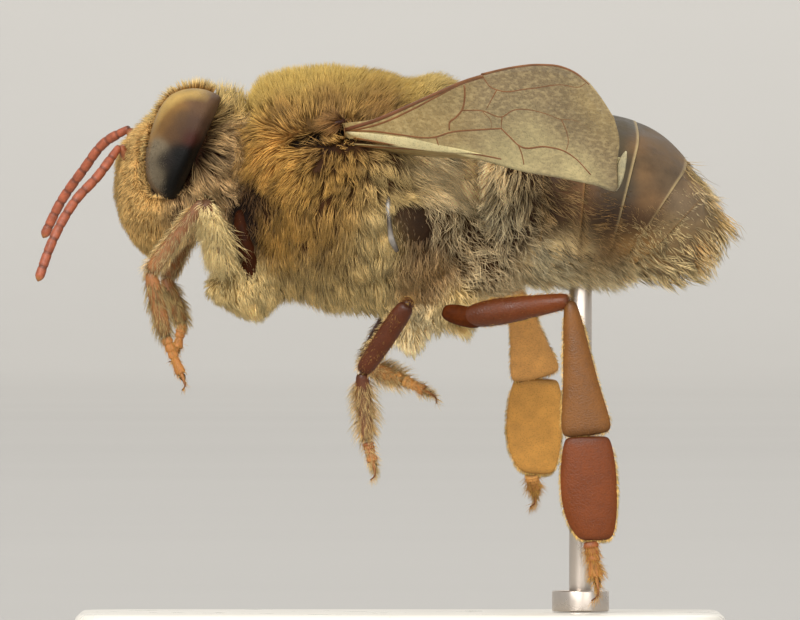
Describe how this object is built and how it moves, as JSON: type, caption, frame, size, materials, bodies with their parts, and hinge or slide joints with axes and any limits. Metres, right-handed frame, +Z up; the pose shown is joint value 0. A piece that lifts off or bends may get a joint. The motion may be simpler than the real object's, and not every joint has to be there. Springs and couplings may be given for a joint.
{
  "type": "drone honey bee on a display stand",
  "caption": "Life-size still model of a male honey bee, furry, with raised wings and hanging legs, held over a flat base by one short rod under the abdomen.",
  "frame": {"origin": "middle of the stand base's underside, on the surface that it rests on", "axes": "+Z up, the bee's head toward -X and its tail toward +X, the bee's left side toward -Y, wings spread along Y"},
  "size_m": [0.0188, 0.0206, 0.016],
  "materials": {
    "coat": "golden fur, matt",
    "face": "short pale golden fur, matt",
    "eye": "fine facets, satin to glossy",
    "antenna": "satin shell",
    "abdomen": "satin shell plates with short hairs",
    "leg": "satin shell with fine hairs",
    "wing": "thin clear membrane, amber tint",
    "steel": "fine brushed",
    "base": "white acrylic, satin"
  },
  "bodies": {
    "root": {"abdomen_1": "abdomen", "abdomen_2": "abdomen", "abdomen_3": "abdomen", "abdomen_4": "abdomen", "abdomen_5": "abdomen", "abdomen_6": "abdomen", "abdomen_7": "abdomen", "antenna_left_flagellum": "antenna", "antenna_left_scape": "antenna", "antenna_right_flagellum": "antenna", "antenna_right_scape": "antenna", "eye_left": "eye", "eye_right": "eye", "forewing_left": "wing", "forewing_right": "wing", "front_left_basitarsus": "leg", "front_left_coxa": "coat", "front_left_femur": "leg", "front_left_tarsus": "leg", "front_left_tibia": "leg", "front_right_basitarsus": "leg", "front_right_coxa": "coat", "front_right_femur": "leg", "front_right_tarsus": "leg", "front_right_tibia": "leg", "head": "face", "hind_left_basitarsus": "leg", "hind_left_coxa": "coat", "hind_left_femur": "leg", "hind_left_tarsus": "leg", "hind_left_tibia": "leg", "hind_right_basitarsus": "leg", "hind_right_coxa": "coat", "hind_right_femur": "leg", "hind_right_tarsus": "leg", "hind_right_tibia": "leg", "hindwing_left": "wing", "hindwing_right": "wing", "mid_left_basitarsus": "leg", "mid_left_coxa": "coat", "mid_left_femur": "leg", "mid_left_tarsus": "leg", "mid_left_tibia": "leg", "mid_right_basitarsus": "leg", "mid_right_coxa": "coat", "mid_right_femur": "leg", "mid_right_tarsus": "leg", "mid_right_tibia": "leg", "mouthparts": "face", "neck": "coat", "pronotum": "coat", "propodeum": "coat", "scutellum": "coat", "stand_base": "base", "stand_collar": "steel", "stand_rod": "steel", "tegula_left": "leg", "tegula_right": "leg", "thorax": "coat"}
  },
  "joints": []
}
